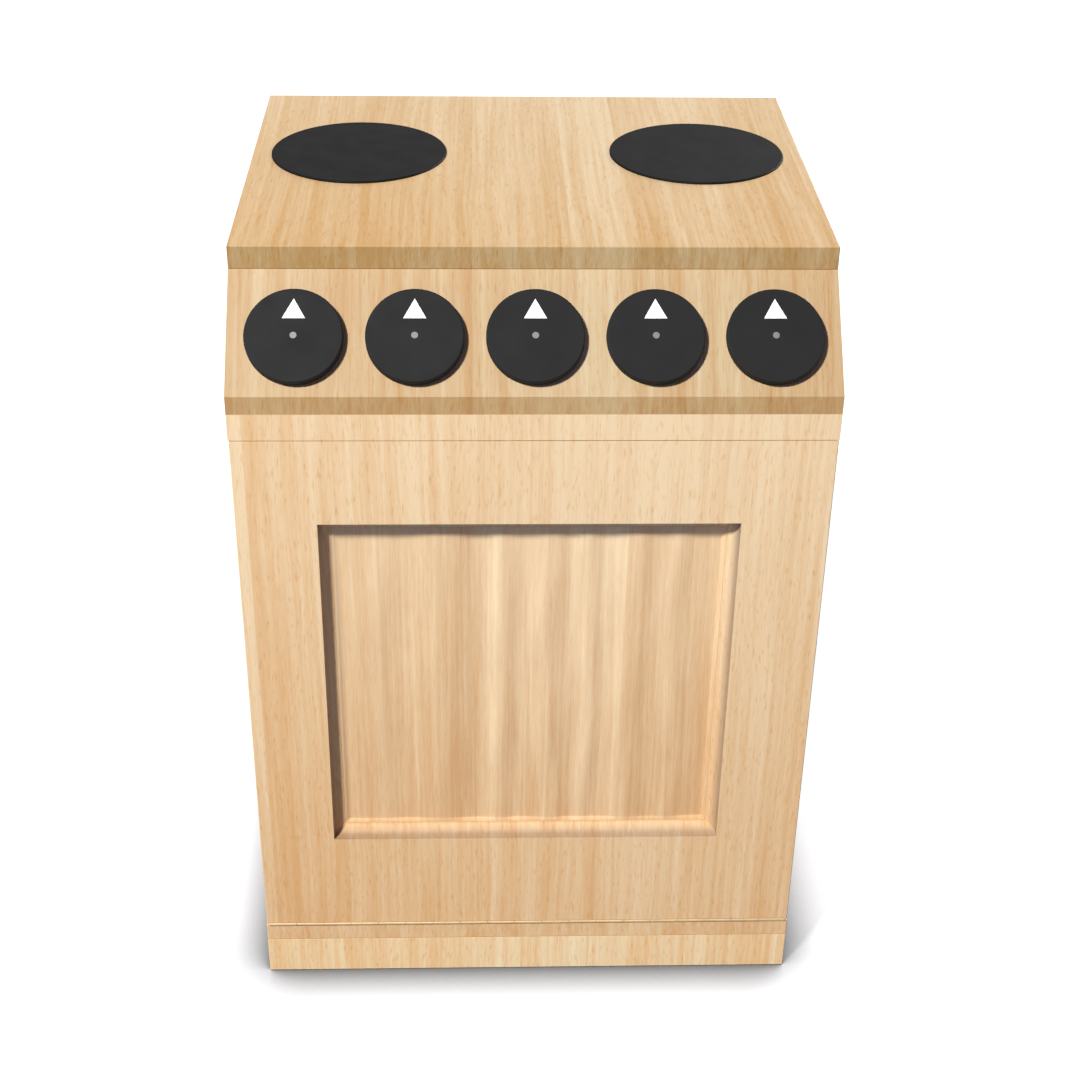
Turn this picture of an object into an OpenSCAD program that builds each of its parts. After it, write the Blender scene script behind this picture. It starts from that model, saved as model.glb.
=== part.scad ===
// Wooden toy oven: a board cabinet with a drop-down door on a continuous hinge,
// a sloping control fascia with five turning knobs, and two hotplates on the hob.
// Frame: origin on the floor at the middle of the footprint, +Z up, the door faces -Y.

/* [Cabinet] */
// Overall width
oven_w = 400; // [360:5:460]
// Overall height, floor to hob surface
oven_h = 576; // [540:2:640]
// Overall depth, door face to back
oven_d = 370; // [340:5:420]
// Thickness of the sides, worktop, roof, rail and plinth boards
board_t = 16; // [15:0.5:19]
// Thickness of the base board, whose front edge shows below the door
base_t = 15; // [13:0.5:18]
// Thickness of the back panel
back_t = 6; // [4:0.5:8]
// How far the back panel laps each board's rebate
back_lap = 8; // [6:0.5:9]
// Chamfer on the boards' outer edges
arris = 0.5; // [0.3:0.1:1]

/* [Plinth] */
// Height of the plinth under the base board
plinth_h = 32; // [26:1:48]

/* [Control fascia] */
// Thickness of the fascia board
fascia_t = 9; // [8:0.5:11]
// Height that the sloping face falls
fascia_fall = 62; // [58:1:70]
// Slope of the fascia above the horizontal
fascia_angle = 45; // [42:1:48]
// Height of the rail's front face, between the fascia and the door
rail_h = 19; // [16:1:28]

/* [Oven interior] */
// Thickness of the oven shelf
shelf_t = 12; // [10:1:15]
// Height of the shelf's underside above the base board
shelf_rise = 205; // [170:5:240]
// How far the shelf stands back from the sides' front edges
shelf_setback = 8; // [4:1:20]

/* [Door] */
// Gap between the door's face and the boards behind it
door_clear = 0.4; // [0.3:0.1:0.8]
// Gap above the door
door_top_gap = 0.5; // [0.5:0.1:2]
// How far the door's ends stand in from the cabinet's sides
door_side_gap = 0.5; // [0.3:0.1:1]
// Width of the door's left stile
stile_left_w = 54.5; // [50:0.5:60]
// Width of the door's right stile
stile_right_w = 60; // [54:0.5:66]
// Height of the door's top rail
door_top_rail = 63; // [54:1:72]
// Height of the door's bottom rail
door_bottom_rail = 83; // [70:1:92]
// Depth of the panel's face below the door's face
recess_depth = 10; // [9:0.5:11]
// Radius of the cove round the recess
cove_r = 8; // [6:0.5:8.5]
// Thickness of the frame's lip, from the foot of the cove to the panel's tongue
frame_lip = 1; // [0.6:0.1:1.5]
// How far the panel's tongue laps behind the frame
panel_lap = 10; // [8:1:14]

/* [Hinge] */
// Outer radius of the hinge knuckle
knuckle_r = 1.25; // [1.2:0.05:1.6]
// Radius of the hinge pin
pin_r = 0.6; // [0.5:0.05:0.7]
// Thickness of each hinge leaf
leaf_t = 0.8; // [0.7:0.05:0.9]
// Width of each hinge leaf
leaf_w = 13; // [11:0.5:14]
// Gap between the two leaves when the door is shut
leaf_gap = 0.8; // [0.7:0.05:1]
// Number of knuckles along the hinge, odd so that both end ones are fixed
knuckles = 19; // [11:2:23]
// How far the hinge stops short of each end of the door
hinge_inset = 1.5; // [1:0.5:6]
// Number of screws in each leaf
leaf_screws = 6; // [4:1:8]

/* [Knobs] */
// Radius of a knob
knob_r = 32; // [28:0.5:34]
// Thickness of a knob
knob_t = 6; // [5:0.5:10]
// Rounding of the knob's front edge
knob_round = 1; // [0.5:0.1:2]
// Distance of the end knobs' centres from the fascia's ends
knob_edge = 44; // [38:1:56]
// Distance of the knob row above the fascia's lower edge, along the slope
knob_row = 39.5; // [38:0.5:44]
// Radius of a knob's spindle
spindle_r = 2.2; // [1.8:0.1:2.8]
// Radius of a spacer washer
spacer_r = 9; // [7:0.5:12]
// Thickness of a spacer washer
spacer_t = 1; // [0.8:0.1:2]
// Radius of a push-on retainer
retainer_r = 5.5; // [5:0.5:7]
// Distance from the knob's centre to the pointer's base
pointer_in = 11.5; // [9:0.5:13]
// Length of the pointer
pointer_l = 13.5; // [10:0.5:15]
// Width of the pointer's base
pointer_w = 15; // [10:0.5:16]
// Depth of the pointer's inlay
pointer_t = 0.8; // [0.6:0.1:1.2]

/* [Hotplates] */
// Radius of a hotplate
hot_r = 63.5; // [55:0.5:66]
// Thickness of a hotplate
hot_t = 3; // [2.5:0.5:5]
// Depth that a hotplate is let into the worktop
hot_sink = 1.5; // [1:0.1:2.5]
// Distance of the hotplates' centres from the worktop's ends
hot_edge = 77; // [72:1:90]
// Distance of the hotplates' centres from the back edge
hot_back = 131; // [115:1:150]
// Rounding of a hotplate's upper edge
hot_round = 1; // [0.5:0.1:1.5]

/* [Fixings] */
// Diameter of a dowel
dowel_d = 6; // [5:0.5:8]
// Length of a dowel
dowel_l = 28; // [24:1:30]
// Depth of a dowel in the face of a board
dowel_face = 9; // [7:0.5:10]
// Radial clearance of a glued dowel or screw in its hole
glue_clear = 0.05; // [0.02:0.01:0.1]
// Radial clearance of a turning spindle or pin
run_clear = 0.08; // [0.03:0.01:0.1]

/* [Hidden] */
$fn = 64;

beech = [0.88, 0.72, 0.50];
beech_dark = [0.76, 0.60, 0.40];
black = [0.05, 0.05, 0.05];
steel = [0.62, 0.63, 0.64];
brass = [0.80, 0.64, 0.34];
nylon = [0.85, 0.85, 0.82];

over = 1;                  // overshoot of a cutter past the face that it cuts
thin = 0.2;                // running gap between flat faces that slide

// Planes of the cabinet
front_y = -oven_d / 2;
back_y = oven_d / 2;
half_w = oven_w / 2;
inner_x = half_w - board_t;
base_top = plinth_h + base_t;
top_under = oven_h - board_t;
layer_y = front_y + board_t;          // back of the rail, front of the sides

// Fascia: its outer face runs from the front plane up to the worktop's front edge
fascia_run = fascia_fall / tan(fascia_angle);
fascia_len = fascia_fall / sin(fascia_angle);
fascia_low_z = top_under - fascia_fall;
lip_h = fascia_t / cos(fascia_angle);
worktop_y = front_y + fascia_run;     // front edge of the worktop
fascia_back_y = worktop_y + fascia_t / sin(fascia_angle);
rail_top = fascia_low_z - lip_h;
rail_back_top = rail_top + board_t * tan(fascia_angle);
rail_low = rail_top - rail_h;

// Door
door_t = board_t - door_clear;
door_x = half_w - door_side_gap;
door_low = base_top + leaf_gap;
door_high = rail_low - door_top_gap;
window_mid = (stile_left_w - stile_right_w) / 2;
window_half = door_x - (stile_left_w + stile_right_w) / 2;
window_low = door_low + door_bottom_rail;
window_high = door_high - door_top_rail;
panel_y = front_y + recess_depth;
tongue_y = panel_y + frame_lip;
panel_half = window_half - cove_r + panel_lap;
panel_left = window_mid - panel_half;
panel_right = window_mid + panel_half;
panel_low = window_low + cove_r - panel_lap;
panel_high = window_high - cove_r + panel_lap;

// Hinge axis, just behind the front plane and midway between the leaves
axis_in = 0.2;
axis_y = front_y + axis_in;
axis_z = base_top + leaf_gap / 2;
hinge_x = door_x - hinge_inset;
knuckle_l = 2 * hinge_x / knuckles;
knuckle_gap = 0.3;
knuckle_clear = 0.2;
leaf_screw_r = 1.2;
leaf_screw_head_r = 2.2;
leaf_screw_l = 9;
leaf_screw_pitch = 2 * hinge_x / leaf_screws;

// Oven interior
roof_t = board_t;
roof_low = rail_low;
shelf_low = base_top + shelf_rise;
shelf_y = layer_y + shelf_setback;
back_face_y = back_y - back_t;        // inner face of the back panel
panel_fit = 0.3;                      // clearance of the back and door panels in their rebates
field_fit = 0.1;                      // clearance of the door panel's face inside the frame's lip

// Catch and strike
catch_w = 24;
catch_flange = 11;
catch_flange_t = 2.5;
catch_h = 14;
catch_d = 13;
catch_gap = 0.3;                      // catch's face behind the front edges of the sides
catch_face_y = layer_y + catch_gap;
catch_wall = 2;
magnet_w = catch_w - 2 * catch_wall;
magnet_d = 9;
magnet_h = 8;
strike_w = 28;
strike_h = 12;
strike_t = 1.2;
strike_z = roof_low - catch_h / 2;
catch_screw_x = catch_w / 2 + catch_flange / 2;

// Knobs
knob_count = 5;
bore_r = spindle_r + run_clear;
knob_back = spacer_t + thin;          // knob's back face above the fascia
knob_face = knob_back + knob_t;
retainer_t = 0.8;
spindle_tail = 3;                     // spindle behind the retainer

knob_pitch = (oven_w - 2 * knob_edge) / (knob_count - 1);

function knob_x(i) = (i - (knob_count - 1) / 2) * knob_pitch;

hot_x = half_w - hot_edge;

// Outline helpers

module chamfered_rect(a, b, c) {
    polygon([[c, 0], [a - c, 0], [a, c], [a, b - c],
             [a - c, b], [c, b], [0, b - c], [0, c]]);
}

// Board between two corners, with every edge chamfered by c
module board(lo, hi, c = arris) {
    size = hi - lo;
    translate(lo)
        intersection() {
            linear_extrude(size.z) chamfered_rect(size.x, size.y, c);
            translate([0, size.y, 0]) rotate([90, 0, 0])
                linear_extrude(size.y) chamfered_rect(size.x, size.z, c);
            rotate([90, 0, 90])
                linear_extrude(size.x) chamfered_rect(size.y, size.z, c);
        }
}

module block(lo, hi) {
    translate(lo) cube(hi - lo);
}

// Prism whose outline lies in the YZ plane, from x0 to x1
module prism_x(points, x0, x1) {
    translate([x0, 0, 0]) rotate([90, 0, 90])
        linear_extrude(x1 - x0) polygon(points);
}

// Countersunk screw pointing along +Z, its head flush at z = 0
module screw(r, head_r, l, grow = 0) {
    head_h = head_r - r;
    union() {
        cylinder(h = l + grow, r = r + grow, $fn = 24);
        cylinder(h = head_h, r1 = head_r + grow, r2 = r + grow, $fn = 24);
        if (grow > 0)
            translate([0, 0, -over]) cylinder(h = over, r = head_r + grow, $fn = 24);
    }
}

// Dowels: each entry is [centre of the joint plane, turn that points the dowel's
// short end into the board's face]

dowel_end = 40;                       // end dowels from a side's front and back edges
dowel_in = 50;                        // dowels from the edges of the worktop, shelf and roof
plinth_dowel_in = 95;                 // plinth side's dowels from its ends
dowel_rows = [front_y + dowel_end, 0, back_y - dowel_end];
plinth_y = oven_d / 2 - board_t / 2;
// plinth dowels end below the back panel's rebate, midway between two hinge screws
dowel_cover = 1;
plinth_dowel_z = plinth_h + base_t - back_lap - dowel_cover - dowel_face;
plinth_dowel_x = (floor(leaf_screws / 3) + (leaf_screws % 2) / 2) * leaf_screw_pitch;

dowel_places = concat(
    [for (s = [-1, 1], y = dowel_rows) [[s * (inner_x + board_t / 2), y, base_top], [180, 0, 0]]],
    [for (s = [-1, 1], y = [fascia_back_y + dowel_in, back_y - dowel_end])
        [[s * (inner_x + board_t / 2), y, top_under], [0, 0, 0]]],
    [for (s = [-1, 1], y = [shelf_y + dowel_in, back_face_y - dowel_in])
        [[s * inner_x, y, shelf_low + shelf_t / 2], [0, s * 90, 0]]],
    [for (s = [-1, 1], y = [shelf_y + dowel_in, back_face_y - dowel_in])
        [[s * inner_x, y, roof_low + roof_t / 2], [0, s * 90, 0]]],
    [for (s = [-1, 1])
        [[s * (inner_x + board_t / 2), layer_y, rail_low + board_t / 2], [90, 0, 0]]],
    [for (s = [-1, 1], e = [-1, 1]) [[s * plinth_dowel_x, e * plinth_y, plinth_dowel_z], [0, 0, 0]]],
    [for (s = [-1, 1], e = [-1, 1])
        [[s * (inner_x + board_t / 2), e * (back_y - board_t - plinth_dowel_in), plinth_dowel_z],
         [0, 0, 0]]]
);

module dowel(grow = 0) {
    tip = 0.8;
    r = dowel_d / 2 + grow;
    low = -(dowel_l - dowel_face) - grow;
    high = dowel_face + grow;
    if (grow > 0)
        translate([0, 0, low]) cylinder(h = high - low, r = r, $fn = 32);
    else
        translate([0, 0, low]) rotate_extrude($fn = 32)
            polygon([[0, 0], [r - tip, 0], [r, tip], [r, high - low - tip],
                     [r - tip, high - low], [0, high - low]]);
}

module every_dowel(grow = 0) {
    for (p = dowel_places)
        translate(p[0]) rotate(p[1]) dowel(grow);
}

module dowels() {
    color(beech_dark) every_dowel();
}

// Cabinet boards

module side_panel(s) {
    x0 = s < 0 ? -half_w : inner_x;
    color(beech)
        difference() {
            intersection() {
                prism_x([[layer_y, base_top], [layer_y, rail_back_top],
                         [fascia_back_y, top_under], [back_y, top_under],
                         [back_y, base_top]], x0, x0 + board_t);
                translate([x0, layer_y, 0])
                    linear_extrude(oven_h) chamfered_rect(board_t, back_y - layer_y, arris);
            }
            // rebate for the back panel
            block([s < 0 ? -inner_x - back_lap : inner_x - over, back_face_y, 0],
                  [s < 0 ? -inner_x + over : inner_x + back_lap, back_y + over, oven_h]);
            every_dowel(glue_clear);
            every_back_screw(glue_clear);
        }
}

module base_board() {
    color(beech)
        difference() {
            board([-half_w, front_y, plinth_h], [half_w, back_y, base_top]);
            block([-inner_x - back_lap, back_face_y, base_top - back_lap],
                  [inner_x + back_lap, back_y + over, base_top + over]);
            hinge_leaf_pocket();
            every_dowel(glue_clear);
            base_leaf_screws(glue_clear);
            every_back_screw(glue_clear);
        }
}

module worktop() {
    color(beech)
        difference() {
            board([-half_w, worktop_y, top_under], [half_w, back_y, oven_h]);
            block([-inner_x - back_lap, back_face_y, top_under - over],
                  [inner_x + back_lap, back_y + over, top_under + back_lap]);
            for (s = [-1, 1])
                translate([s * hot_x, back_y - hot_back, oven_h - hot_sink])
                    cylinder(h = hot_sink + over, r = hot_r + glue_clear, $fn = 96);
            every_dowel(glue_clear);
            every_back_screw(glue_clear);
        }
}

module back_panel() {
    x = inner_x + back_lap - panel_fit;
    color(beech_dark)
        difference() {
            block([-x, back_face_y, base_top - back_lap + panel_fit],
                  [x, back_y, top_under + back_lap - panel_fit]);
            every_back_screw(glue_clear);
        }
}

back_screw_r = 1.5;
back_screw_head_r = 3;
back_screw_l = 20;
back_screw_end = 40;                  // end screws from the back panel's upper and lower joints
back_screw_in = 100;                  // upper and lower screws from the cabinet's sides
back_screw_rows = 4;
back_screw_heights = [for (i = [0:back_screw_rows - 1])
    base_top + back_screw_end
    + i * (top_under - base_top - 2 * back_screw_end) / (back_screw_rows - 1)];

module every_back_screw(grow = 0) {
    mid = back_lap / 2;
    for (s = [-1, 1], z = back_screw_heights)
        translate([s * (inner_x + mid), back_y, z]) rotate([90, 0, 0])
            screw(back_screw_r, back_screw_head_r, back_screw_l, grow);
    for (s = [-1, 1], z = [base_top - mid, top_under + mid])
        translate([s * (half_w - back_screw_in), back_y, z]) rotate([90, 0, 0])
            screw(back_screw_r, back_screw_head_r, back_screw_l, grow);
}

module back_screws() {
    color(steel) every_back_screw();
}

module plinth_across(e) {
    y0 = e < 0 ? front_y : back_y - board_t;
    color(beech)
        difference() {
            board([-half_w, y0, 0], [half_w, y0 + board_t, plinth_h]);
            every_dowel(glue_clear);
        }
}

module plinth_side(s) {
    x0 = s < 0 ? -half_w : inner_x;
    color(beech)
        difference() {
            board([x0, layer_y, 0], [x0 + board_t, back_y - board_t, plinth_h]);
            every_dowel(glue_clear);
        }
}

module front_rail() {
    color(beech)
        difference() {
            prism_x([[front_y, rail_low], [front_y, rail_top], [layer_y, rail_back_top],
                     [layer_y, rail_low]], -half_w, half_w);
            every_dowel(glue_clear);
        }
}

module oven_roof() {
    color(beech)
        difference() {
            block([-inner_x, layer_y, roof_low], [inner_x, back_face_y, roof_low + roof_t]);
            every_dowel(glue_clear);
            every_catch_screw(glue_clear);
        }
}

module oven_shelf() {
    color(beech)
        difference() {
            board([-inner_x, shelf_y, shelf_low], [inner_x, back_face_y, shelf_low + shelf_t]);
            every_dowel(glue_clear);
        }
}

// Puts a shape on the fascia: z = 0 on its outer face, +Y up the slope
module on_fascia(up = 0) {
    translate([0, front_y, fascia_low_z]) rotate([fascia_angle, 0, 0])
        translate([0, up, 0]) children();
}

module fascia() {
    color(beech)
        difference() {
            prism_x([[front_y, rail_top], [front_y, fascia_low_z],
                     [worktop_y, top_under], [fascia_back_y, top_under]], -half_w, half_w);
            on_fascia(knob_row)
                for (i = [0:knob_count - 1])
                    translate([knob_x(i), 0, -fascia_t - over])
                        cylinder(h = fascia_t + 2 * over, r = bore_r, $fn = 32);
        }
}

// Disc with its upper edge rounded, lying on z = 0
module rounded_disc(r, t, edge) {
    rotate_extrude($fn = 96)
        union() {
            square([r, t - edge]);
            square([r - edge, t]);
            translate([r - edge, t - edge]) circle(r = edge, $fn = 32);
        }
}

module hotplate(s) {
    color(black)
        translate([s * hot_x, back_y - hot_back, oven_h - hot_sink])
            rounded_disc(hot_r, hot_t, hot_round);
}

// Continuous hinge along the door's lower edge

module axis_rod(r, x0, x1) {
    translate([x0, axis_y, axis_z]) rotate([0, 90, 0]) cylinder(h = x1 - x0, r = r, $fn = 32);
}

module on_leaf_screws() {
    for (i = [0:leaf_screws - 1])
        translate([(i - (leaf_screws - 1) / 2) * leaf_screw_pitch,
                   front_y + knuckle_r + leaf_w / 2, 0]) children();
}

module base_leaf_screws(grow = 0) {
    on_leaf_screws()
        translate([0, 0, base_top]) rotate([180, 0, 0])
            screw(leaf_screw_r, leaf_screw_head_r, leaf_screw_l, grow);
}

module door_leaf_screws(grow = 0) {
    on_leaf_screws()
        translate([0, 0, door_low])
            screw(leaf_screw_r, leaf_screw_head_r, leaf_screw_l, grow);
}

// One leaf with its own knuckles; first is 0 for the fixed leaf and 1 for the door's
module hinge_leaf(z0, first) {
    cut_y = axis_y + knuckle_r + knuckle_clear;
    difference() {
        union() {
            block([-hinge_x, cut_y, z0], [hinge_x, front_y + leaf_w, z0 + leaf_t]);
            for (k = [first:2:knuckles - 1]) {
                x0 = -hinge_x + k * knuckle_l + (k > 0 ? knuckle_gap / 2 : 0);
                x1 = -hinge_x + (k + 1) * knuckle_l - (k < knuckles - 1 ? knuckle_gap / 2 : 0);
                axis_rod(knuckle_r, x0, x1);
                block([x0, axis_y, z0], [x1, cut_y + over, z0 + leaf_t]);
            }
        }
        axis_rod(pin_r + run_clear, -half_w, half_w);
    }
}

module hinge_leaf_base() {
    color(brass)
        difference() {
            hinge_leaf(base_top - leaf_t, 0);
            base_leaf_screws(glue_clear);
        }
}

module hinge_leaf_door() {
    color(brass)
        difference() {
            hinge_leaf(door_low, 1);
            door_leaf_screws(glue_clear);
        }
}

module hinge_pin() {
    color(steel) axis_rod(pin_r, -hinge_x, hinge_x);
}

// Pockets that let each leaf in flush, and the hollow that the knuckles turn in
module knuckle_hollow() {
    axis_rod(knuckle_r + knuckle_clear, -hinge_x - knuckle_clear, hinge_x + knuckle_clear);
}

module hinge_leaf_pocket() {
    x = hinge_x + knuckle_clear;
    block([-x, front_y - over, base_top - leaf_t - glue_clear],
          [x, front_y + leaf_w + knuckle_clear, base_top + over]);
    knuckle_hollow();
}

module door_leaf_pocket() {
    x = hinge_x + knuckle_clear;
    block([-x, front_y - over, door_low - over],
          [x, front_y + leaf_w + knuckle_clear, door_low + leaf_t + glue_clear]);
    knuckle_hollow();
}

module hinge_screws_base() {
    color(brass) base_leaf_screws();
}

module hinge_screws_door() {
    color(brass) door_leaf_screws();
}

// Door

// Section of the recess: a tray with coved lower corners, lying along +X with its
// depth along +Y, open through to the back in the middle
module recess_section(half) {
    centre = recess_depth - cove_r;
    union() {
        translate([-half, -over]) square([2 * half, over + centre]);
        translate([-half + cove_r, -over]) square([2 * (half - cove_r), over + 2 * board_t]);
        for (s = [-1, 1])
            translate([s * (half - cove_r), centre]) circle(r = cove_r, $fn = 48);
    }
}

module recess_cutter() {
    mid = (window_low + window_high) / 2;
    intersection() {
        translate([window_mid, front_y, window_low - over])
            linear_extrude(window_high - window_low + 2 * over) recess_section(window_half);
        translate([window_mid - window_half - over, front_y, mid]) rotate([90, 0, 90])
            linear_extrude(2 * (window_half + over))
                mirror([1, -1]) recess_section((window_high - window_low) / 2);
    }
}

module door_frame() {
    color(beech)
        difference() {
            board([-door_x, front_y, door_low], [door_x, front_y + door_t, door_high]);
            recess_cutter();
            block([panel_left, tongue_y, panel_low],
                  [panel_right, front_y + door_t + over, panel_high]);
            door_leaf_pocket();
            door_leaf_screws(glue_clear);
            strike_pocket();
            strike_fixing(glue_clear);
        }
}

// Panel with a tongue behind the frame's lip, its face level with the foot of the cove
module door_panel() {
    tongue = panel_lap + field_fit;
    color(beech)
        union() {
            block([panel_left + panel_fit, tongue_y, panel_low + panel_fit],
                  [panel_right - panel_fit, front_y + door_t, panel_high - panel_fit]);
            block([panel_left + tongue, panel_y, panel_low + tongue],
                  [panel_right - tongue, front_y + door_t, panel_high - tongue]);
        }
}

module strike_pocket() {
    y = front_y + door_t;
    block([-strike_w / 2 - glue_clear, y - strike_t, strike_z - strike_h / 2 - glue_clear],
          [strike_w / 2 + glue_clear, y + over, strike_z + strike_h / 2 + glue_clear]);
}

module strike_fixing(grow = 0) {
    translate([0, front_y + door_t, strike_z]) rotate([90, 0, 0])
        screw(leaf_screw_r, leaf_screw_head_r, leaf_screw_l, grow);
}

module strike_plate() {
    y = front_y + door_t;
    color(steel)
        difference() {
            block([-strike_w / 2, y - strike_t, strike_z - strike_h / 2],
                  [strike_w / 2, y, strike_z + strike_h / 2]);
            strike_fixing(glue_clear);
        }
}

module strike_screw() {
    color(steel) strike_fixing();
}

// Magnetic catch under the oven roof

module every_catch_screw(grow = 0) {
    for (s = [-1, 1])
        translate([s * catch_screw_x, catch_face_y + catch_d / 2, roof_low - catch_flange_t])
            screw(leaf_screw_r, leaf_screw_head_r, leaf_screw_l, grow);
}

module catch_housing() {
    x = catch_w / 2;
    color(nylon)
        difference() {
            union() {
                block([-x - catch_flange, catch_face_y, roof_low - catch_flange_t],
                      [x + catch_flange, catch_face_y + catch_d, roof_low]);
                block([-x, catch_face_y, roof_low - catch_h], [x, catch_face_y + catch_d, roof_low]);
            }
            block([-magnet_w / 2 - glue_clear, catch_face_y - over,
                   strike_z - magnet_h / 2 - glue_clear],
                  [magnet_w / 2 + glue_clear, catch_face_y + magnet_d + glue_clear,
                   strike_z + magnet_h / 2 + glue_clear]);
            every_catch_screw(glue_clear);
        }
}

module catch_magnet() {
    color(steel)
        block([-magnet_w / 2, catch_face_y, strike_z - magnet_h / 2],
              [magnet_w / 2, catch_face_y + magnet_d, strike_z + magnet_h / 2]);
}

module catch_screws() {
    color(steel) every_catch_screw();
}

// Knobs

module pointer_outline(grow = 0) {
    polygon([[-pointer_w / 2 - grow, pointer_in - grow], [pointer_w / 2 + grow, pointer_in - grow],
             [0, pointer_in + pointer_l + 2 * grow]]);
}

module at_knob(i) {
    on_fascia(knob_row) translate([knob_x(i), 0, 0]) children();
}

module knob(i) {
    color(black)
        at_knob(i)
            difference() {
                translate([0, 0, knob_back]) rounded_disc(knob_r, knob_t, knob_round);
                translate([0, 0, knob_back - over])
                    cylinder(h = knob_t + 2 * over, r = spindle_r + glue_clear, $fn = 32);
                translate([0, 0, knob_face - pointer_t])
                    linear_extrude(pointer_t + over) pointer_outline(glue_clear);
            }
}

module pointer(i) {
    color("white")
        at_knob(i)
            translate([0, 0, knob_face - pointer_t]) linear_extrude(pointer_t) pointer_outline();
}

module spindle(i) {
    color(steel)
        at_knob(i)
            translate([0, 0, -fascia_t - thin - retainer_t - spindle_tail])
                cylinder(h = knob_face + fascia_t + thin + retainer_t + spindle_tail,
                         r = spindle_r, $fn = 32);
}

// Push-on star washer: six teeth grip the spindle
module retainer(i) {
    teeth = 6;
    tooth_l = 1.4;
    slot_w = 0.8;
    color(steel)
        at_knob(i)
            translate([0, 0, -fascia_t - thin - retainer_t])
                difference() {
                    cylinder(h = retainer_t, r = retainer_r, $fn = 48);
                    translate([0, 0, -over])
                        cylinder(h = retainer_t + 2 * over, r = spindle_r + glue_clear, $fn = 32);
                    for (k = [0:teeth - 1])
                        rotate([0, 0, k * 360 / teeth])
                            translate([0, -slot_w / 2, -over])
                                cube([spindle_r + tooth_l, slot_w, retainer_t + 2 * over]);
                }
}

module knob_spacers() {
    color(nylon)
        for (i = [0:knob_count - 1])
            at_knob(i)
                difference() {
                    cylinder(h = spacer_t, r = spacer_r, $fn = 48);
                    translate([0, 0, -over])
                        cylinder(h = spacer_t + 2 * over, r = bore_r, $fn = 32);
                }
}

side_panel(-1);  // side_left
side_panel(1);  // side_right
base_board();
worktop();
back_panel();
plinth_across(-1);  // plinth_front
plinth_across(1);  // plinth_back
plinth_side(-1);  // plinth_left
plinth_side(1);  // plinth_right
fascia();
front_rail();
oven_roof();
oven_shelf();
hotplate(-1);  // hotplate_left
hotplate(1);  // hotplate_right
dowels();
back_screws();
hinge_leaf_base();
hinge_pin();
hinge_screws_base();
catch_housing();
catch_magnet();
catch_screws();
knob_spacers();
door_frame();
door_panel();
hinge_leaf_door();
hinge_screws_door();
strike_plate();
strike_screw();
for (i = [0:knob_count - 1]) {
    knob(i);
    pointer(i);
    spindle(i);
    retainer(i);
}
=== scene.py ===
from math import cos, pi, radians, sin

import bpy
import numpy as np
from mathutils import Matrix, Vector


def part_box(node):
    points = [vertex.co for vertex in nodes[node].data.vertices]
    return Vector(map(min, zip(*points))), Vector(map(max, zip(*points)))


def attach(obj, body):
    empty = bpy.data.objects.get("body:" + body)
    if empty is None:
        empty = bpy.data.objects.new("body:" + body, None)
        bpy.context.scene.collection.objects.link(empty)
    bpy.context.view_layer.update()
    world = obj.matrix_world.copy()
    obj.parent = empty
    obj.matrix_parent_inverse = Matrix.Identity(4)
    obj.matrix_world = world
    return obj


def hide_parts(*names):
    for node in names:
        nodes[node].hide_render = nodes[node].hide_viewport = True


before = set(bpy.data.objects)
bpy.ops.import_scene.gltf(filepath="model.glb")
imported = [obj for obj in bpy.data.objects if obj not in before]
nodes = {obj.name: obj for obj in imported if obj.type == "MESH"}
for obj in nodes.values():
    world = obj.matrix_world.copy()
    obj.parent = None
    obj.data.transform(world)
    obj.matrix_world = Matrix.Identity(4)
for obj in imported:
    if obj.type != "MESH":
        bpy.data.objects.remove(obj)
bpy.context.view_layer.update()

# Cabinet boards: chipboard with a light beech veneer and a thin satin lacquer. The grain runs up the
# front, the sides, the fascia and the plinth and front to back on the level boards, so the worktop's
# front edge and the fascia's lower end are end grain and look browner.

BEECH_PALE = (246, 218, 173)
BEECH_DEEP = (225, 175, 116)
# tints of wood that is cut across the grain
CUT_TINT = (0.70, 0.65, 0.57, 1)
WORKTOP_CUT = (0.89, 0.91, 0.87, 1)
FASCIA_CUT = (1.10, 1.01, 0.84, 1)
BASE_CUT = (0.97, 0.95, 0.92, 1)
# how squarely a face has to stand across the grain before it counts as cut
ACROSS_GRAIN = (0.68, 0.70)
STAVE_WIDTH = 0.048
# how far along the grain the palest stave's figure is shifted against the deepest one's
STAVE_OFFSET = 3.0
THROUGH_THE_BOARD = 0.15
# between these lies nearly all of a noise about a half
NOISE_SPAN = (0.3, 0.7)
# the tone's rise a metre along X, Y and Z, and the tone at the origin that it starts from. On the
# front the rise is painted light, paler towards the top and towards the right, which evens out the
# lamp's fall-off from the left; on the worktop it is paler towards the back.
FRONT_PAINTED_LIGHT = (0.5, 0, 1.2)
WORKTOP_TONE_SLOPE = (0, 1.2, 0.336)
BASE_TONE = 0.32
# waves a metre across and along the grain, and how many metres they bend it by
MEANDERS = ((7.0, 3.0, 0.010), (35.0, 14.0, 0.0025))
# waves a metre across and along the grain, and the strength of the streaks
STREAKS = ((42.0, 1.0, 0.7), (120.0, 2.4, 0.95), (340.0, 8.0, 1.15))
FIBRES, FIBRE_STRENGTH = (1300.0, 60.0), 0.7
FLECKS, FLECK_EDGE = (620.0, 110.0), (0.58, 0.76)
FLECK_TINT = (0.90, 0.77, 0.60, 1)
FLECK_DENT = 0.6
LACQUER_ROUGHNESS = (0.42, 0.54)


def linear(rgb):
    """Scene-linear colour, with an alpha of 1, of an 8-bit display colour."""
    share = np.array(rgb, float) / 255
    value = np.where(share <= 0.04045, share / 12.92, ((share + 0.055) / 1.055) ** 2.4)
    return (*value.tolist(), 1.0)


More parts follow.
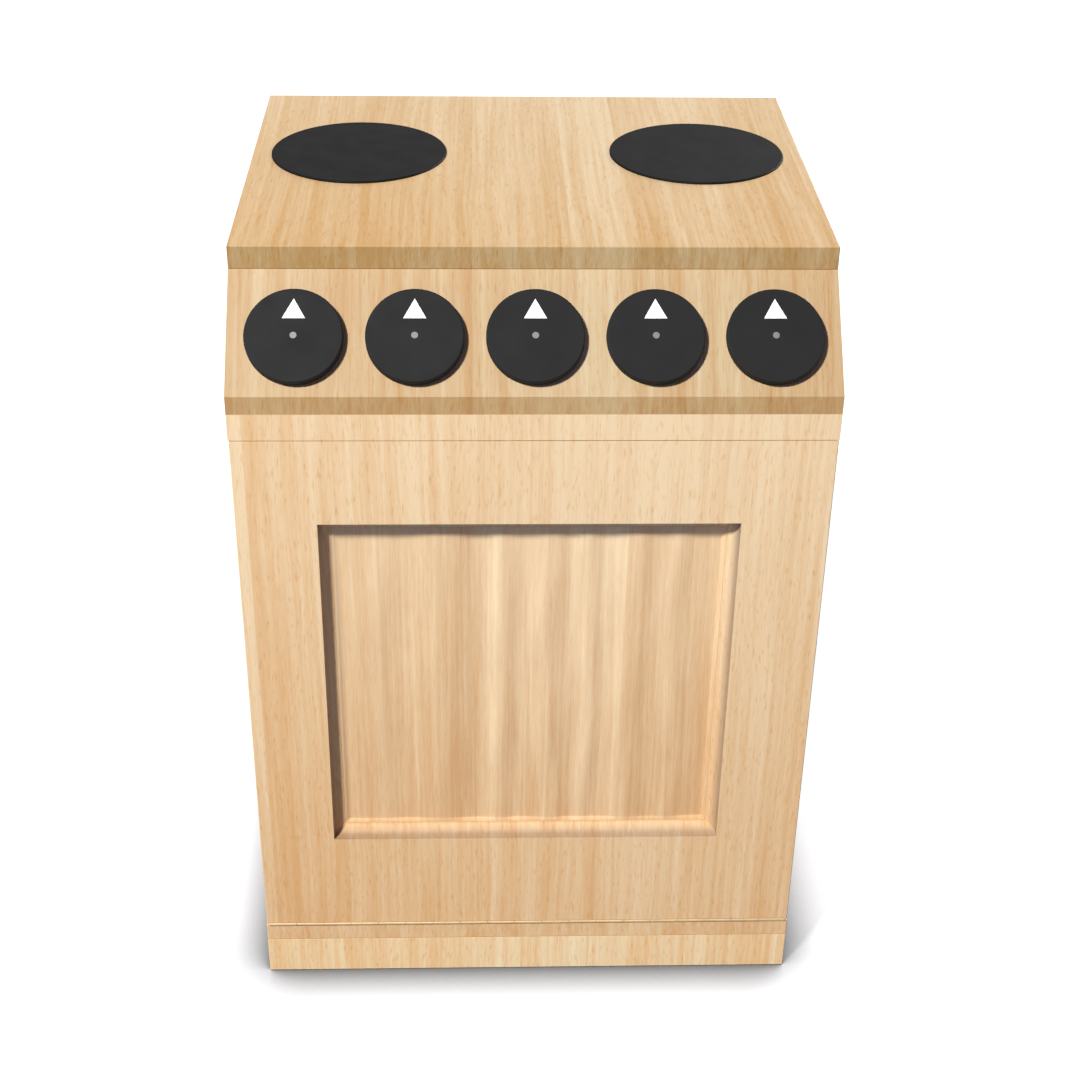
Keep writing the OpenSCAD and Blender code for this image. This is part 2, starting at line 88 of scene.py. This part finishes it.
def put(tree, kind, inputs, **settings):
    """Adds a node. An input given as a socket is linked to it, and any other input is set."""
    made = tree.nodes.new("ShaderNode" + kind)
    for name, value in settings.items():
        setattr(made, name, value)
    for name, value in inputs.items():
        if isinstance(value, bpy.types.NodeSocket):
            tree.links.new(value, made.inputs[name])
        else:
            made.inputs[name].default_value = value
    return made


def sums(tree, operation, first, second=0.5, third=0.5):
    """One step of arithmetic on up to three values."""
    return put(tree, "Math", {0: first, 1: second, 2: third}, operation=operation).outputs[0]


def centred(tree, value):
    """The value less a half, for noise that lies about a half."""
    return sums(tree, "SUBTRACT", value, 0.5)


def ramped(tree, value, low, high, to_low=0.0, to_high=1.0):
    """The value carried in a straight line from low..high to to_low..to_high, and held at both ends."""
    ends = {"Value": value, "From Min": low, "From Max": high, "To Min": to_low, "To Max": to_high}
    return put(tree, "MapRange", ends).outputs[0]


def blended(tree, share, first, second, blend_type="MIX"):
    """The first colour with that share of the second mixed into it or, for MULTIPLY, laid over it."""
    mix = put(tree, "Mix", {0: share, 6: first, 7: second}, data_type="RGBA", blend_type=blend_type)
    return mix.outputs[2]


def stretched_noise(tree, place, across, along, detail=2.0, through=THROUGH_THE_BOARD):
    """Noise about 0.5, with the given number of waves a metre across and along the grain, and fewer
    through the board, so that a streak on a face runs on over the board's end."""
    scale = (across, across * through, along)
    scaled = put(tree, "VectorMath", {0: place, 1: scale}, operation="MULTIPLY")
    noise = put(tree, "TexNoise", {"Vector": scaled.outputs[0], "Scale": 1.0, "Detail": detail})
    return noise.outputs["Fac"]


def shader_group(name, inputs, outputs):
    """New node group, with the outputs of its input node and the inputs of its output node."""
    tree = bpy.data.node_groups.new(name, "ShaderNodeTree")
    for label, kind in inputs.items():
        tree.interface.new_socket(label, in_out="INPUT", socket_type="NodeSocket" + kind)
    for label, kind in outputs.items():
        tree.interface.new_socket(label, in_out="OUTPUT", socket_type="NodeSocket" + kind)
    return tree, tree.nodes.new("NodeGroupInput").outputs, tree.nodes.new("NodeGroupOutput").inputs


def make_beech_group():
    """Beech with its grain along Z and its staves side by side along X.

    The tone adds up the stave's own tone, streaks of four widths that meander along the grain, and
    the tone given. Short soft flecks of a browner orange lie over it.
    """
    tree, given, result = shader_group(
        "beech",
        {"Vector": "Vector", "Pale": "Color", "Deep": "Color", "Cut Tint": "Color", "Cut": "Float",
         "Tone": "Float", "Stave Shift": "Float", "Stave Contrast": "Float", "Streaks": "Float",
         "Flecks": "Float"},
        {"Color": "Color", "Roughness": "Float", "Height": "Float"})
    xyz = put(tree, "SeparateXYZ", {0: given["Vector"]}).outputs
    bent_x = xyz[0]
    for across, along, reach in MEANDERS:
        meander = stretched_noise(tree, given["Vector"], across, along)
        bent_x = sums(tree, "MULTIPLY_ADD", meander, reach, bent_x)
    stave_place = sums(tree, "DIVIDE", sums(tree, "ADD", xyz[0], given["Stave Shift"]), STAVE_WIDTH)
    stave = put(tree, "TexVoronoi", {"W": stave_place, "Scale": 1.0}, voronoi_dimensions="1D")
    stave_tone = put(tree, "SeparateColor", {0: stave.outputs["Color"]}).outputs[0]
    own_z = sums(tree, "MULTIPLY_ADD", stave_tone, STAVE_OFFSET, xyz[2])
    place = put(tree, "CombineXYZ", {0: bent_x, 1: xyz[1], 2: own_z}).outputs[0]

    fibre = stretched_noise(tree, place, *FIBRES, 1.0)
    streaks = [(stretched_noise(tree, place, across, along), share) for across, along, share in STREAKS]
    streaks.append((fibre, FIBRE_STRENGTH))
    tone = sums(tree, "MULTIPLY_ADD", centred(tree, stave_tone), given["Stave Contrast"], given["Tone"])
    for streak, strength in streaks:
        scaled = sums(tree, "MULTIPLY", given["Streaks"], strength)
        tone = sums(tree, "MULTIPLY_ADD", centred(tree, streak), scaled, tone)
    wood = blended(tree, ramped(tree, tone, 0.0, 1.0), given["Deep"], given["Pale"])

    fleck = ramped(tree, stretched_noise(tree, place, *FLECKS, 1.0), *FLECK_EDGE)
    flecked = blended(tree, sums(tree, "MULTIPLY", fleck, given["Flecks"]), wood, FLECK_TINT, "MULTIPLY")
    finished = blended(tree, given["Cut"], flecked, given["Cut Tint"], "MULTIPLY")

    tree.links.new(finished, result["Color"])
    tree.links.new(ramped(tree, fibre, *NOISE_SPAN, *LACQUER_ROUGHNESS), result["Roughness"])
    dent = sums(tree, "MULTIPLY", fleck, FLECK_DENT)
    tree.links.new(sums(tree, "SUBTRACT", fibre, dent), result["Height"])
    return tree


beech_group = make_beech_group()
# turns that bring a board's grain onto Z
GRAIN_UP = (0, 0, 0)
GRAIN_UP_SIDES = (0, 0, pi / 2)
GRAIN_BACK = (pi / 2, 0, 0)
GRAIN_UP_SLOPE = (pi / 4, 0, 0)
# shifts that pick the staves of the front and those of the worktop, fascia, plinth and panel
FRONT_STAVES = 1.147
TOP_STAVES = 2.051


def surfaced(name, group, strength, depth):
    """Material whose colour, roughness and relief come from a node group, the relief with that strength
    and depth. Gives the material, its shader and the group's node, whose inputs are still to be set."""
    material = bpy.data.materials.new(name)
    material.use_nodes = True
    tree = material.node_tree
    shader = tree.nodes["Principled BSDF"]
    skin = put(tree, "Group", {}, node_tree=group)
    relief = put(tree, "Bump", {"Strength": strength, "Distance": depth, "Height": skin.outputs["Height"]})
    tree.links.new(skin.outputs["Color"], shader.inputs["Base Color"])
    tree.links.new(skin.outputs["Roughness"], shader.inputs["Roughness"])
    tree.links.new(relief.outputs[0], shader.inputs["Normal"])
    return material, shader, skin


def beech(name, turn, stave_shift, pale=BEECH_PALE, deep=BEECH_DEEP, cut=CUT_TINT, contrast=0.4,
          streaks=1.0, flecks=0.8, gloss=0.2, tone=None, tone_slope=None):
    """Lacquered beech. turn brings the grain onto Z, and a face across the grain takes the tint of cut
    wood. tone names the mesh attribute that makes the wood paler or deeper, 0.5 being the middle.
    Without one, the slope given gives the tone's rise a metre along each axis. On the front this is
    painted light, paler towards the top and towards the right, which evens out the lamp's fall-off
    from the left; on the worktop it is paler towards the back."""
    material, shader, wood = surfaced(name, beech_group, strength=0.35, depth=0.00008)
    tree = material.node_tree
    spot = put(tree, "TexCoord", {}).outputs
    turned = put(tree, "Mapping", {"Vector": spot["Object"], "Rotation": turn})
    facing = put(tree, "Mapping", {"Vector": spot["Normal"], "Rotation": turn}, vector_type="NORMAL")
    normal = put(tree, "SeparateXYZ", {0: facing.outputs[0]}).outputs
    across_grain = ramped(tree, sums(tree, "ABSOLUTE", normal[2]), *ACROSS_GRAIN)
    tree.links.new(turned.outputs[0], wood.inputs["Vector"])
    tree.links.new(across_grain, wood.inputs["Cut"])
    for label, value in (("Pale", linear(pale)), ("Deep", linear(deep)), ("Cut Tint", cut), ("Tone", 0.5),
                         ("Stave Shift", stave_shift), ("Stave Contrast", contrast), ("Streaks", streaks),
                         ("Flecks", flecks)):
        wood.inputs[label].default_value = value
    if tone:
        read = put(tree, "Attribute", {}, attribute_name=tone)
        tree.links.new(read.outputs["Fac"], wood.inputs["Tone"])
    # a tone that rises along the axes; on the front it is painted light
    elif tone_slope:
        sloped = put(tree, "VectorMath", {0: spot["Object"], 1: tone_slope}, operation="DOT_PRODUCT")
        tree.links.new(sums(tree, "ADD", sloped.outputs["Value"], BASE_TONE), wood.inputs["Tone"])
    shader.inputs["Specular IOR Level"].default_value = gloss
    return material


def finish(material, *names):
    """Gives the CAD nodes their material."""
    for name in names:
        slots = nodes[name].data.materials
        slots.clear()
        slots.append(material)


finish(beech("beech side", GRAIN_UP_SIDES, 0.9, contrast=0.3),
       "side_left", "side_right", "plinth_left", "plinth_right")
# the front rail's tone slope is painted light, paler towards the top and the right
finish(beech("beech front", GRAIN_UP, FRONT_STAVES, contrast=0.33, streaks=0.8, tone_slope=FRONT_PAINTED_LIGHT),
       "front_rail")
finish(beech("beech base", GRAIN_BACK, FRONT_STAVES, cut=BASE_CUT, contrast=0.33, streaks=0.8), "base_board")
finish(beech("beech plinth", GRAIN_UP, TOP_STAVES, (255, 234, 188), (241, 191, 129)),
       "plinth_front", "plinth_back")
# The worktop's and the fascia's palettes are darker than the other boards': painted shade that offsets the
# lamp's light, which falls on them more squarely. The fascia's cut tint lifts its lower end, which faces
# front, back up.
finish(beech("beech worktop", GRAIN_BACK, TOP_STAVES, (209, 186, 147), (186, 146, 91), WORKTOP_CUT,
             contrast=0.5, streaks=0.9, tone_slope=WORKTOP_TONE_SLOPE), "worktop")
finish(beech("beech fascia", GRAIN_UP_SLOPE, TOP_STAVES, (194, 174, 137), (176, 139, 93), FASCIA_CUT),
       "fascia")
finish(beech("beech inside", GRAIN_BACK, 1.7), "oven_roof", "oven_shelf")

# Back panel: a thin sheet of beech plywood, screwed into a rebate all round the back. It has no
# lacquer and is a little browner than the boards, and its face grain is upright.

finish(beech("plywood back", GRAIN_UP, 2.3, (226, 196, 152), (204, 166, 120), contrast=0.2, streaks=1.3,
             gloss=0.1), "back_panel")

# Dowels: plain beech pins, glued into the boards' ends and edges and out of sight
# inside the joints.

finish(beech("dowel beech", GRAIN_UP, 3.1, (214, 178, 130), (190, 150, 104), contrast=0.1), "dowels")

# Hotplates and knobs: beech discs under several coats of matt black paint. The brush leaves faint
# fine lines, and the paint is a touch smoother on some patches than on others.

# turn that brings X onto Z, so that the lines run along X
ALONG_X = (0, pi / 2, 0)
# waves a metre across and along the brush, of its lines and of the patches
BRUSH_LINES, PATCHES = (900.0, 25.0), (45.0, 45.0)
BRUSHED_TINT, BRUSHED_SHARE = (0.7, 0.7, 0.7, 1), 0.25
PAINT_ROUGHNESS = (0.60, 0.68)


def make_paint_group():
    """Brushed matt paint: fine lines along X under slow patches, as a tone, a roughness and a height."""
    tree, given, result = shader_group(
        "brushed paint", {"Vector": "Vector", "Colour": "Color"},
        {"Color": "Color", "Roughness": "Float", "Height": "Float"})
    turned = put(tree, "Mapping", {"Vector": given["Vector"], "Rotation": ALONG_X}).outputs[0]
    lines = stretched_noise(tree, turned, *BRUSH_LINES, detail=1.0, through=1.0)
    patches = stretched_noise(tree, turned, *PATCHES, through=1.0)
    both = sums(tree, "MULTIPLY_ADD", lines, 0.5, patches)
    darker = ramped(tree, both, 0.5, 1.0, to_high=BRUSHED_SHARE)
    tree.links.new(blended(tree, darker, given["Colour"], BRUSHED_TINT, "MULTIPLY"), result["Color"])
    tree.links.new(ramped(tree, patches, *NOISE_SPAN, *PAINT_ROUGHNESS), result["Roughness"])
    tree.links.new(lines, result["Height"])
    return tree


paint_group = make_paint_group()


def painted(name, colour, gloss=0.12):
    """Matt paint of that colour, also used for moulded pieces with a like surface."""
    material, shader, coat = surfaced(name, paint_group, strength=0.3, depth=0.00005)
    tree = material.node_tree
    tree.links.new(put(tree, "TexCoord", {}).outputs["Object"], coat.inputs["Vector"])
    coat.inputs["Colour"].default_value = linear(colour)
    shader.inputs["Specular IOR Level"].default_value = gloss
    return material


KNOBS = range(1, 6)
# The hotplates' paint is darker than the knobs': painted shade that offsets the stronger light on the
# worktop.
finish(painted("hotplate paint", (22, 21, 21), 0.06), "hotplate_left", "hotplate_right")
finish(painted("knob paint", (30, 29, 29)), *(f"knob_{k}" for k in KNOBS))

# Pointers: white plastic triangles, one to a knob, each pressed into a pocket in the knob's
# face and level with it.

finish(painted("white inlay", (250, 250, 248)), *(f"pointer_{k}" for k in KNOBS))

# Metal and nylon fittings: turned steel spindles, pressed steel washers and plates, a pale brass
# hinge, and moulded nylon for the spacers and the catch. Each has faint lines or grain of its own.

# waves a metre across and along the drawing, of its lines and of the dull patches
DRAWN_LINES, DULL_PATCHES = (2500.0, 60.0), (180.0, 180.0)
DULLED_TINT, DULLED_SHARE = (0.5, 0.48, 0.45, 1), 0.25
ROUGHNESS_SPREAD = 0.25


def make_metal_group():
    """Drawn or turned metal: fine lines along X that vary its colour and roughness a little."""
    tree, given, result = shader_group(
        "drawn metal", {"Vector": "Vector", "Colour": "Color", "Roughness": "Float"},
        {"Color": "Color", "Roughness": "Float", "Height": "Float"})
    turned = put(tree, "Mapping", {"Vector": given["Vector"], "Rotation": ALONG_X}).outputs[0]
    lines = stretched_noise(tree, turned, *DRAWN_LINES, detail=1.0, through=1.0)
    dull = stretched_noise(tree, turned, *DULL_PATCHES, through=1.0)
    darker = ramped(tree, dull, 0.35, 0.75, to_high=DULLED_SHARE)
    tree.links.new(blended(tree, darker, given["Colour"], DULLED_TINT, "MULTIPLY"), result["Color"])
    spread = sums(tree, "MULTIPLY_ADD", centred(tree, lines), ROUGHNESS_SPREAD, given["Roughness"])
    tree.links.new(spread, result["Roughness"])
    tree.links.new(lines, result["Height"])
    return tree


metal_group = make_metal_group()


def metal(name, colour, roughness):
    """Metal of that colour, its roughness about the one given."""
    material, shader, skin = surfaced(name, metal_group, strength=0.2, depth=0.00002)
    tree = material.node_tree
    tree.links.new(put(tree, "TexCoord", {}).outputs["Object"], skin.inputs["Vector"])
    skin.inputs["Colour"].default_value = linear(colour)
    skin.inputs["Roughness"].default_value = roughness
    shader.inputs["Metallic"].default_value = 1.0
    return material


finish(metal("spindle steel", (110, 110, 110), 0.6), *(f"spindle_{k}" for k in KNOBS), "hinge_pin")
finish(metal("zinc plate", (138, 141, 146), 0.5), *(f"retainer_{k}" for k in KNOBS),
       "strike_plate", "strike_screw", "catch_screws", "back_screws")
finish(metal("pale brass", (186, 163, 128), 0.65), "hinge_leaf_base", "hinge_leaf_door",
       "hinge_screws_base", "hinge_screws_door")
finish(painted("nylon", (226, 224, 216)), "catch_housing", "knob_spacers")
finish(painted("ferrite", (52, 52, 54)), "catch_magnet")

# Door frame: a board with the same veneer as the rail above it, whose staves run straight on over
# it and stop at the plinth. The recess is routed into it, with a cove all round whose colour is
# darkened and made bluer as painted shade.

# the recess and the panel have the same middle
panel_low, panel_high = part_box("door_panel")
cove_middle = (panel_low.z + panel_high.z) / 2
# darker, bluer tint painted on the cove as the shade that falls in the recess
COVE_PAINTED_SHADE = (0.46, 0.48, 0.56, 1)
# how far above, below and beside the recess's middle the cove's painted shade ends
COVE_SHADE_REACH = (0.165, 0.175)
# how far a face of the cove has turned inward where its painted shade begins and where it is full
COVE_SHADE_TURN = (0.32, 0.95)


def paint_cove_shade(material):
    """Paints shade on the cove, which is told by its place on the door: a darker, bluer tint in place
    of that of cut wood, which deepens as the faces turn inward."""
    tree = material.node_tree
    spot = put(tree, "TexCoord", {}).outputs
    place = put(tree, "SeparateXYZ", {0: spot["Object"]}).outputs
    normal = put(tree, "SeparateXYZ", {0: spot["Normal"]}).outputs
    above = sums(tree, "ABSOLUTE", sums(tree, "SUBTRACT", place[2], cove_middle))
    outward = sums(tree, "MAXIMUM", above, sums(tree, "ABSOLUTE", place[0]))
    in_cove = ramped(tree, outward, *COVE_SHADE_REACH, 1.0, 0.0)
    inward = sums(tree, "MAXIMUM", sums(tree, "ABSOLUTE", normal[0]), sums(tree, "ABSOLUTE", normal[2]))
    wood = next(node for node in tree.nodes if node.bl_idname == "ShaderNodeGroup")
    across_grain = wood.inputs["Cut"].links[0].from_socket
    share = put(tree, "Mix", {0: in_cove, 2: across_grain, 3: ramped(tree, inward, *COVE_SHADE_TURN)})
    tree.links.new(share.outputs[0], wood.inputs["Cut"])
    tree.links.new(blended(tree, in_cove, CUT_TINT, COVE_PAINTED_SHADE), wood.inputs["Cut Tint"])
    return material


finish(paint_cove_shade(beech("beech door", GRAIN_UP, FRONT_STAVES, contrast=0.33, streaks=0.8,
                         tone_slope=FRONT_PAINTED_LIGHT)), "door_frame")

# Door panel: a figured beech board with a tongue behind the frame's lip, its face level with the foot
# of the cove at the edges and worked lower inside them. The face is rippled as curly wood is when it
# is planed by hand: ridges run up the board, bow and fade.

PANEL_GRID = 0.0015
# the tongue round the face: its width, the run of the wall down to it, and the lip it lies behind
TONGUE_WIDTH = 0.0098
TONGUE_WALL = 0.00005
FRAME_LIP = 0.0010
# how far in from each edge the face takes to come down to its ripple
RIM_LEFT, RIM_RIGHT, RIM_LOW, RIM_TOP = 0.0045, 0.0035, 0.0035, 0.0120
# how deep below the edges the highest ridge and the lowest hollow lie
FIELD_TOP, FIELD_DEPTH = 0.0002, 0.0018
# each ridge: place across, half width, height, bow, all in metres, and phase in radians
RIDGES = (
    (-0.103, 0.0075, 0.0007, 0.0016, 0.8),
    (-0.067, 0.0120, 0.0007, 0.0020, 2.4),
    (-0.021, 0.0065, 0.0009, 0.0024, 4.1),
    (0.011, 0.0065, 0.0012, 0.0026, 1.1),
    (0.039, 0.0050, 0.0009, 0.0018, 5.2),
    (0.069, 0.0075, 0.0009, 0.0026, 3.0),
    (0.102, 0.0055, 0.0008, 0.0034, 0.2),
)
# how far a ridge's height sways about its middle value, and how many half turns of that go up the board
RIDGE_FADING, RIDGE_TURNS = 0.25, 5.3
# the low waves under the ridges: their number, slope, radians a metre, and lean at most
SWELLS, SWELL_SEED = 30, 7
SWELL_SLOPE = 0.009
SWELL_TURNS = (40, 330)
SWELL_LEAN = 0.03
# tone of the wood at the panel's foot, its rise to the top, and its rise on a slope that faces left,
# which counts up to the steepest one. The rise to the top is painted light, and the rise on slopes
# that face the lamp on the left paints light and shade onto the ridges' flanks.
PANEL_TONE_LOW, PAINTED_LIGHT_RISE, PAINTED_LIGHT_SLOPE = 0.22, 0.45, 1.5
STEEPEST = 0.2


def panel_lines(low, high):
    """Places from one edge of the panel to the other: even steps over the face, and on each side of it
    the foot of its wall and the tongue's edge."""
    face_low, face_high = low + TONGUE_WIDTH, high - TONGUE_WIDTH
    face = np.linspace(face_low, face_high, int(round((face_high - face_low) / PANEL_GRID)) + 1)
    return np.concatenate([[low, face_low - TONGUE_WALL], face, [face_high + TONGUE_WALL, high]])


def smooth_step(value):
    """Rise from 0 to 1 that starts and ends level: three squares less two cubes of the held value."""
    held = np.clip(value, 0, 1)
    return held * held * (3 - 2 * held)


def rippled_height(x, z, low, high):
    """Height of the face's ripple: Gaussian ridges, each bowed by a sine along the board and
    swelling and fading with another, under low waves that lean a little. The shorter a wave is, the
    lower it is, so that all have the same slope."""
    rise = (z - low.z) / (high.z - low.z)
    height = np.zeros_like(x)
    for place, half_width, crest, bow, phase in RIDGES:
        middle = place + bow * np.sin(2 * pi * rise + phase)
        swell = 1 - RIDGE_FADING + RIDGE_FADING * np.sin(RIDGE_TURNS * pi * rise + 2 * phase)
        height += crest * swell * np.exp(-0.5 * ((x - middle) / half_width) ** 2)
    random = np.random.default_rng(SWELL_SEED)
    for _ in range(SWELLS):
        across = random.uniform(*SWELL_TURNS)
        along = across * random.uniform(-SWELL_LEAN, SWELL_LEAN)
        height += SWELL_SLOPE / across * np.sin(across * x + along * z + random.uniform(0, 2 * pi))
    return height


def slab(name, front, back, material):
    """Closed board between two grids of points with the same layout, front faces outwards. A ring of
    quads joins the front's rim to the back's."""
    rows, columns = front.shape[:2]
    points = np.concatenate([front.reshape(-1, 3), back.reshape(-1, 3)])
    index = np.arange(rows * columns).reshape(rows, columns)
    quads = np.stack([index[:-1, :-1], index[:-1, 1:], index[1:, 1:], index[1:, :-1]], -1).reshape(-1, 4)
    rim = np.concatenate([index[0, :-1], index[:-1, -1], index[-1, :0:-1], index[:0:-1, 0]])
    after = np.roll(rim, -1)
    offset = rows * columns
    sides = np.stack([rim, rim + offset, after + offset, after], -1)
    faces = np.concatenate([quads, quads[:, ::-1] + offset, sides])
    mesh = bpy.data.meshes.new(name)
    mesh.from_pydata(points.tolist(), [], faces.tolist())
    mesh.update()
    mesh.materials.append(material)
    piece = bpy.data.objects.new(name, mesh)
    bpy.context.scene.collection.objects.link(piece)
    return piece


lines_x = panel_lines(panel_low.x, panel_high.x)
panel_x, panel_z = np.meshgrid(lines_x, panel_lines(panel_low.z, panel_high.z))
relief = rippled_height(panel_x, panel_z, panel_low, panel_high)
drop = np.clip(relief.max() - relief + FIELD_TOP, 0, FIELD_DEPTH)
into_face = np.stack([panel_x - panel_low.x, panel_high.x - panel_x,
                      panel_z - panel_low.z, panel_high.z - panel_z]) - TONGUE_WIDTH
rims = np.array([RIM_LEFT, RIM_RIGHT, RIM_LOW, RIM_TOP]).reshape(4, 1, 1)
drop *= smooth_step((into_face / rims).min(0))
panel_y = panel_low.y + np.where(into_face.min(0) < -TONGUE_WALL / 2, FRAME_LIP, drop)
figured_beech = beech("figured beech", GRAIN_UP, TOP_STAVES, (253, 225, 179), (219, 172, 119),
                      contrast=0.25, streaks=0.7, flecks=0.25, tone="painted_light")
rippled_panel = slab("rippled_panel", np.stack([panel_x, panel_y, panel_z], -1),
                     np.stack([panel_x, np.full_like(panel_x, panel_high.y), panel_z], -1), figured_beech)
# Painted light on the panel: its tone is paler towards the top and on slopes that face the lamp.
flank = np.clip(np.gradient(relief, lines_x, axis=1), -STEEPEST, STEEPEST)
rise = (panel_z - panel_low.z) / (panel_high.z - panel_low.z)
painted_light = np.tile((PANEL_TONE_LOW + PAINTED_LIGHT_RISE * rise + PAINTED_LIGHT_SLOPE * flank).ravel(), 2)
rippled_panel.data.attributes.new("painted_light", "FLOAT", "POINT").data.foreach_set("value", painted_light)
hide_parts("door_panel")
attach(rippled_panel, "door")

# Floor: a plain white sheet under the cooker, seen bright by the camera and by anything glossy, with
# the cooker's soft shadow on it. Its glow is dimmed near the cooker as painted shade, and dimmed more
# at the cooker's foot as a painted contact shadow. It throws only a little light back up at the cooker.

FLOOR_SIZE = 12.0
# the sheet's glow by the cooker, dimmed there as painted shade, which grows to full white over the
# distances below
FLOOR_GLOW = 0.86
FLOOR_NEAR, FLOOR_FAR = 0.30, 0.85
# how much of the lamps' light it shows, and what it throws back onto the cooker
FLOOR_SEEN = 0.30
FLOOR_BOUNCE = (0.18, 0.20, 0.24, 1)
# painted contact shadow: how near the cooker must be to darken the floor, and how open the floor is
# where that begins and ends
CONTACT_SHADOW_REACH = 0.046
CONTACT_SHADOW_OPEN = (0.4, 1.0)


def seen_directly(tree):
    """1 on rays from the camera, and on ones that reach a surface by gloss or through glass."""
    ray = put(tree, "LightPath", {}).outputs
    glossy = sums(tree, "MAXIMUM", ray["Is Glossy Ray"], ray["Is Transmission Ray"])
    return sums(tree, "MAXIMUM", ray["Is Camera Ray"], glossy)


def make_floor():
    """Square sheet that glows more the farther it is from the cooker, as painted shade near it, and less
    close to its foot, as a painted contact shadow.
    """
    half = FLOOR_SIZE / 2
    mesh = bpy.data.meshes.new("floor")
    mesh.from_pydata([(-half, -half, 0), (half, -half, 0), (half, half, 0), (-half, half, 0)], [],
                     [(0, 1, 2, 3)])
    material = bpy.data.materials.new("white floor")
    material.use_nodes = True
    tree = material.node_tree
    tree.nodes.remove(tree.nodes["Principled BSDF"])
    open_air = put(tree, "AmbientOcclusion", {"Distance": CONTACT_SHADOW_REACH}).outputs["AO"]
    place = put(tree, "TexCoord", {}).outputs["Object"]
    away = put(tree, "VectorMath", {0: place}, operation="LENGTH").outputs["Value"]
    whiter = ramped(tree, away, FLOOR_NEAR, FLOOR_FAR, FLOOR_GLOW, 1.0)
    # painted contact shadow: the floor darkened where the cooker's foot closes it in
    painted_contact_shadow = ramped(tree, open_air, *CONTACT_SHADOW_OPEN)
    seen = put(tree, "BsdfDiffuse", {"Color": sums(tree, "MULTIPLY", painted_contact_shadow, FLOOR_SEEN)})
    glow = put(tree, "Emission", {"Strength": sums(tree, "MULTIPLY", whiter, painted_contact_shadow)})
    bounce = put(tree, "BsdfDiffuse", {"Color": FLOOR_BOUNCE})
    bright = put(tree, "AddShader", {0: seen.outputs[0], 1: glow.outputs[0]})
    choice = put(tree, "MixShader", {0: seen_directly(tree), 1: bounce.outputs[0], 2: bright.outputs[0]})
    tree.links.new(choice.outputs[0], tree.nodes["Material Output"].inputs["Surface"])
    mesh.materials.append(material)
    floor = bpy.data.objects.new("floor", mesh)
    bpy.context.scene.collection.objects.link(floor)


make_floor()

# Light: a soft box high on the left in front, a weaker one low behind on the right that keeps the
# back and the right side from going dark, and a weak bluish light from all round.

AIM = Vector((0, -0.1, 0.35))
ROOM_LIGHT = (0.075, 0.080, 0.195, 1)


def soft_box(name, direction, distance, width, watts):
    """Square lamp of that width, facing the cooker from that direction and distance."""
    lamp = bpy.data.lights.new(name, "AREA")
    lamp.size = width
    lamp.energy = watts
    box = bpy.data.objects.new(name, lamp)
    away = Vector(direction).normalized()
    facing = away.to_track_quat("Z", "Y").to_matrix().to_4x4()
    box.matrix_world = Matrix.Translation(AIM + away * distance) @ facing
    bpy.context.scene.collection.objects.link(box)


soft_box("key light", (-0.40, -0.53, 0.75), distance=6.0, width=0.57, watts=526)
soft_box("back light", (0.62, 0.74, 0.26), distance=3.0, width=1.2, watts=70)

scene = bpy.context.scene
world = bpy.data.worlds.new("white studio")
world.use_nodes = True
scene.world = world
sky = world.node_tree
room = put(sky, "Background", {"Color": ROOM_LIGHT})
backdrop = put(sky, "Background", {"Color": (1, 1, 1, 1)})
either = put(sky, "MixShader", {0: seen_directly(sky), 1: room.outputs[0], 2: backdrop.outputs[0]})
sky.links.new(either.outputs[0], sky.nodes["World Output"].inputs["Surface"])
scene.view_settings.view_transform = "Standard"

# Camera: in front of the cooker, a little left of its middle and well above it, so that it looks
# 31 degrees down on the hob and still sees the whole door.

CAMERA_PLACE = (-0.0381, -1.2681, 1.0474)
CAMERA_PITCH = radians(31.227)
CAMERA_YAW = radians(2.232)
CAMERA_ROLL = radians(0.970)
CAMERA_LENS = 62.725

level = cos(CAMERA_PITCH)
ahead = Vector((sin(CAMERA_YAW) * level, cos(CAMERA_YAW) * level, -sin(CAMERA_PITCH)))
level_right = ahead.cross(Vector((0, 0, 1))).normalized()
level_up = level_right.cross(ahead)
right = level_right * cos(CAMERA_ROLL) + level_up * sin(CAMERA_ROLL)
up = level_up * cos(CAMERA_ROLL) - level_right * sin(CAMERA_ROLL)
camera_data = bpy.data.cameras.new("camera")
camera_data.lens = CAMERA_LENS
camera_data.sensor_width = 36.0
camera_data.clip_start = 0.01
camera = bpy.data.objects.new("camera", camera_data)
camera.matrix_world = Matrix.Translation(CAMERA_PLACE) @ Matrix((right, up, -ahead)).transposed().to_4x4()
scene.collection.objects.link(camera)
scene.camera = camera
